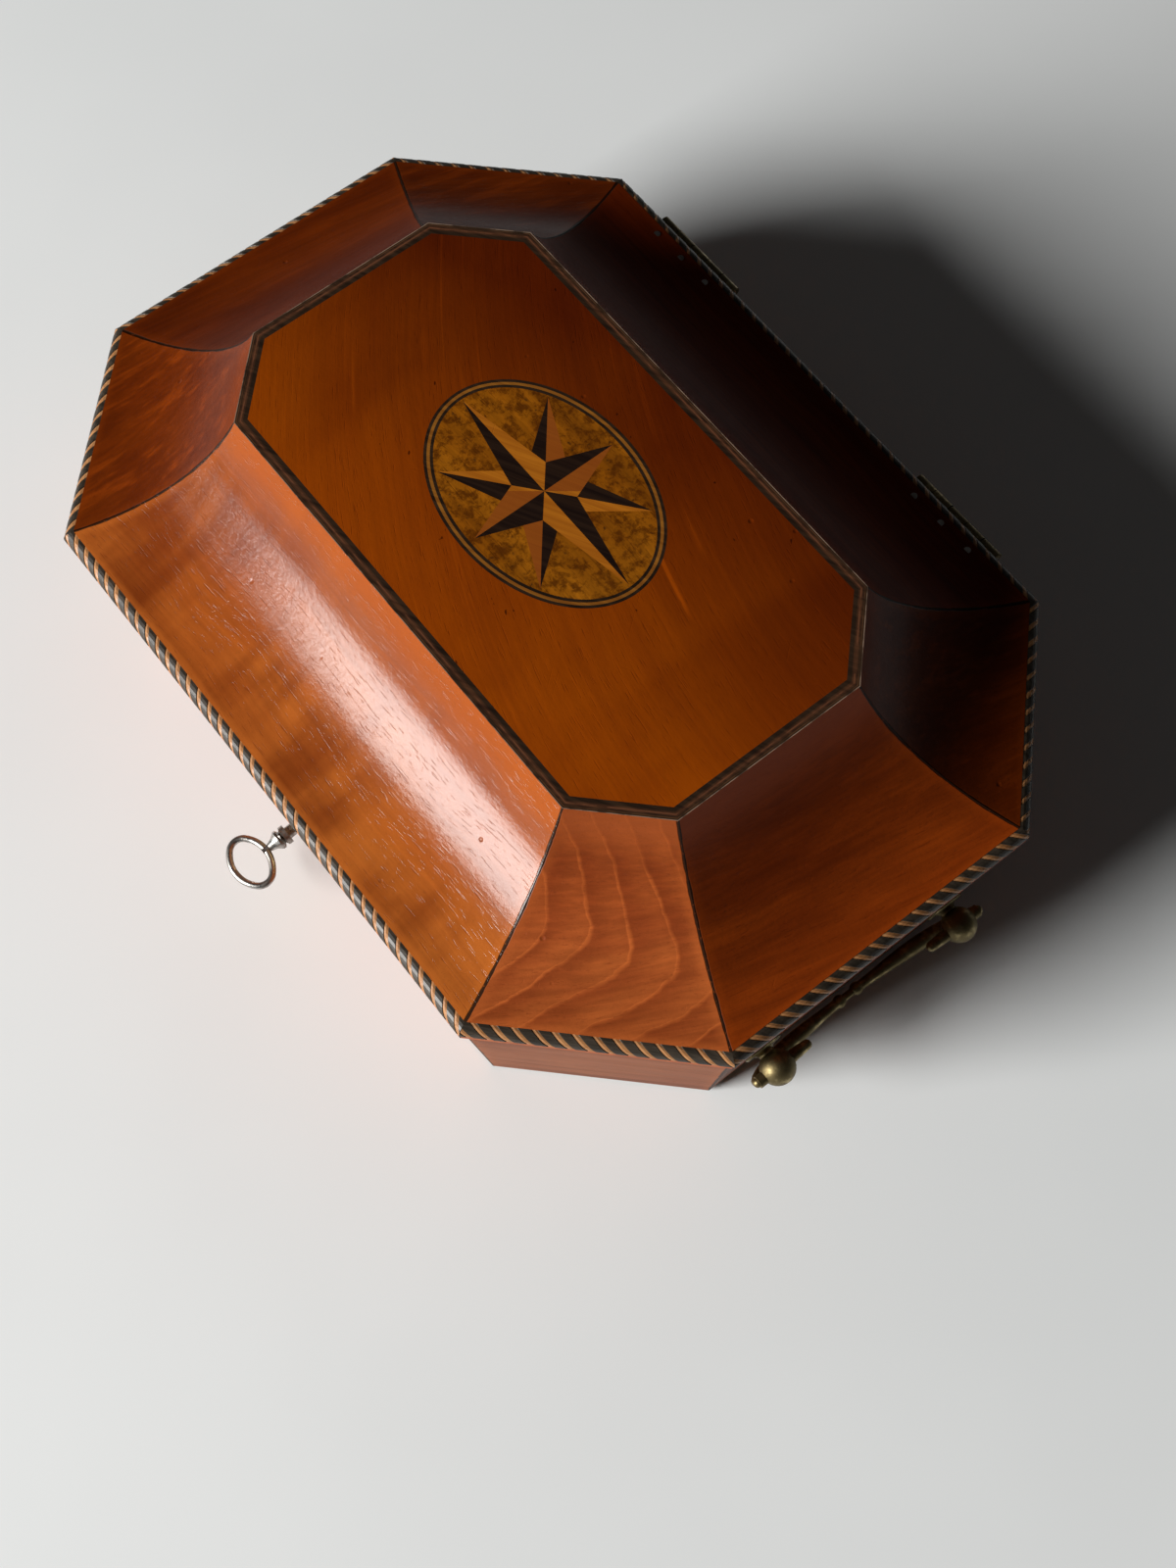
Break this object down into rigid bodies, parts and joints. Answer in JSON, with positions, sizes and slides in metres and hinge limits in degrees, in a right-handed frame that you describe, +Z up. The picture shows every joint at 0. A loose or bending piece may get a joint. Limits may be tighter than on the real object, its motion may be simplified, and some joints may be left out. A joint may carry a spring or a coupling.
{
  "type": "antique music box",
  "caption": "Octagonal veneered table box with a coved hinged lid, star inlay, bail handles, lock and key, and a cylinder music movement inside.",
  "frame": {"origin": "middle of the underside, on the table", "axes": "+Z up, -Y the front with the keyhole, +Y the hinges, +X along the box to the right-hand handle"},
  "size_m": [0.3182, 0.2365, 0.1085],
  "materials": {
    "satinwood": "French-polished honey-brown satinwood veneer, glossy",
    "wall_satinwood": "French-polished pinkish-brown satinwood veneer, glossy",
    "panel_satinwood": "French-polished straight-grained satinwood, glossy",
    "rope_stringing": "alternate dark and light wood blocks cut on the slant, polished",
    "dark_stringing": "ebonised stringing, polished",
    "light_stringing": "boxwood stringing, polished",
    "star_dark": "dark shaded half of the star, polished",
    "star_light": "light half of the star, polished",
    "burr_ground": "golden-brown burr wood, polished",
    "carcass_pine": "planed pine, unpolished",
    "green_baize": "woollen baize, matte",
    "old_brass": "tarnished, worn bright on the high places",
    "movement_brass": "lacquered, satin",
    "steel": "old bright steel, lightly pitted",
    "blued_steel": "tempered blue",
    "cast_iron_bed": "fine-cast, bronzed paint"
  },
  "bodies": {
    "case": {"base_baize": "green_baize", "base_board": "carcass_pine", "front_wall": "wall_satinwood", "back_wall": "wall_satinwood", "left_wall": "wall_satinwood", "right_wall": "wall_satinwood", "corner_walls": "wall_satinwood", "lock_case": "old_brass", "lock_screws": "steel", "escutcheon": "old_brass", "hinge_leaves_case": "old_brass", "hinge_pins": "steel", "hinge_screws_case": "steel", "handle_posts": "old_brass", "handle_roses": "old_brass", "handle_nuts": "old_brass", "bedplate": "cast_iron_bed", "bed_feet": "movement_brass", "bed_screws": "steel", "comb_base": "cast_iron_bed", "comb": "steel", "comb_screws": "blued_steel", "cylinder_cocks": "movement_brass", "barrel_bridges": "movement_brass", "governor_frame": "movement_brass", "stop_lever_post": "movement_brass"},
    "lid": {"lid_front_cove": "satinwood", "lid_back_cove": "satinwood", "lid_left_cove": "satinwood", "lid_right_cove": "satinwood", "lid_corner_coves": "satinwood", "edge_bead": "rope_stringing", "lid_top_board": "carcass_pine", "lid_top_veneer": "panel_satinwood", "panel_stringing_dark": "dark_stringing", "panel_stringing_light": "light_stringing", "oval_stringing_dark": "dark_stringing", "oval_stringing_light": "light_stringing", "oval_ground": "burr_ground", "star_dark_halves": "star_dark", "star_light_halves": "star_light", "lock_link_plate": "old_brass", "hinge_leaves_lid": "old_brass", "hinge_screws_lid": "steel"},
    "key_body": {"key": "steel"},
    "bolt": {"lock_bolt": "steel"},
    "right_bail": {"bail_right": "old_brass"},
    "left_bail": {"bail_left": "old_brass"},
    "music_cylinder": {"cylinder": "movement_brass", "cylinder_arbor": "steel", "cylinder_wheel": "movement_brass"},
    "barrel": {"spring_barrel": "movement_brass", "mainspring": "blued_steel"},
    "ratchet_arbor": {"winding_arbor": "steel"},
    "lever": {"winding_lever": "steel"},
    "pawl": {"lever_pawl": "steel"},
    "click_body": {"click": "steel"},
    "governor": {"governor_wheel": "movement_brass"},
    "fly_body": {"fly": "steel"},
    "stop": {"stop_lever": "movement_brass"}
  },
  "joints": [
    {"name": "lid_hinge", "type": "hinge", "parent": "case", "child": "lid", "pos_m": [0, 0.1095, 0.06645], "axis": [-1, 0, 0], "range_deg": [0, 95]},
    {"name": "key_turn", "type": "hinge", "parent": "case", "child": "key_body", "pos_m": [0, -0.09906, 0.0185], "axis": [0, -0.9884, -0.1518], "range_deg": [0, 100]},
    {"name": "bolt_slide", "type": "slide", "parent": "case", "child": "bolt", "axis": [1, 0, 0], "range_m": [0, 0.005]},
    {"name": "bail_right_swing", "type": "hinge", "parent": "case", "child": "right_bail", "pos_m": [0.15357, 0, 0.02902], "axis": [0, -1, 0], "range_deg": [0, 165]},
    {"name": "bail_left_swing", "type": "hinge", "parent": "case", "child": "left_bail", "pos_m": [-0.15357, 0, 0.02902], "axis": [0, 1, 0], "range_deg": [0, 165]},
    {"name": "cylinder_spin", "type": "hinge", "parent": "case", "child": "music_cylinder", "pos_m": [0, 0.01, 0.038], "axis": [1, 0, 0], "continuous": true},
    {"name": "barrel_spin", "type": "hinge", "parent": "case", "child": "barrel", "pos_m": [0, 0.037, 0.038], "axis": [1, 0, 0], "continuous": true},
    {"name": "governor_spin", "type": "hinge", "parent": "case", "child": "governor", "pos_m": [0, 0.031, 0.038], "axis": [1, 0, 0], "continuous": true},
    {"name": "fly_spin", "type": "hinge", "parent": "case", "child": "fly_body", "pos_m": [0.0696, 0.04572, 0.05], "axis": [0, 0, 1], "continuous": true},
    {"name": "ratchet_spin", "type": "hinge", "parent": "case", "child": "ratchet_arbor", "pos_m": [0, 0.037, 0.038], "axis": [-1, 0, 0], "continuous": true},
    {"name": "lever_pull", "type": "hinge", "parent": "case", "child": "lever", "pos_m": [0, 0.037, 0.038], "axis": [-1, 0, 0], "range_deg": [0, 40]},
    {"name": "pawl_lift", "type": "hinge", "parent": "lever", "child": "pawl", "pos_m": [-0.089, 0.02027, 0.03496], "axis": [1, 0, 0], "range_deg": [0, 12], "stiffness_Nm_per_rad": 0.001, "springref_deg": -17.19},
    {"name": "click_lift", "type": "hinge", "parent": "case", "child": "click_body", "pos_m": [-0.089, 0.05559, 0.0358], "axis": [1, 0, 0], "range_deg": [0, 12], "stiffness_Nm_per_rad": 0.002, "springref_deg": -20.05},
    {"name": "stop_turn", "type": "hinge", "parent": "case", "child": "stop", "pos_m": [0.088, -0.012, 0.054], "axis": [0, 0, -1], "range_deg": [0, 10]}
  ],
  "couplings": [
    {"joint": "key_turn", "follows": "bolt_slide", "rad_per_m": 314.16},
    {"joint": "barrel_spin", "follows": "cylinder_spin", "ratio": -0.25},
    {"joint": "governor_spin", "follows": "cylinder_spin", "ratio": -4},
    {"joint": "fly_spin", "follows": "cylinder_spin", "ratio": 60}
  ]
}
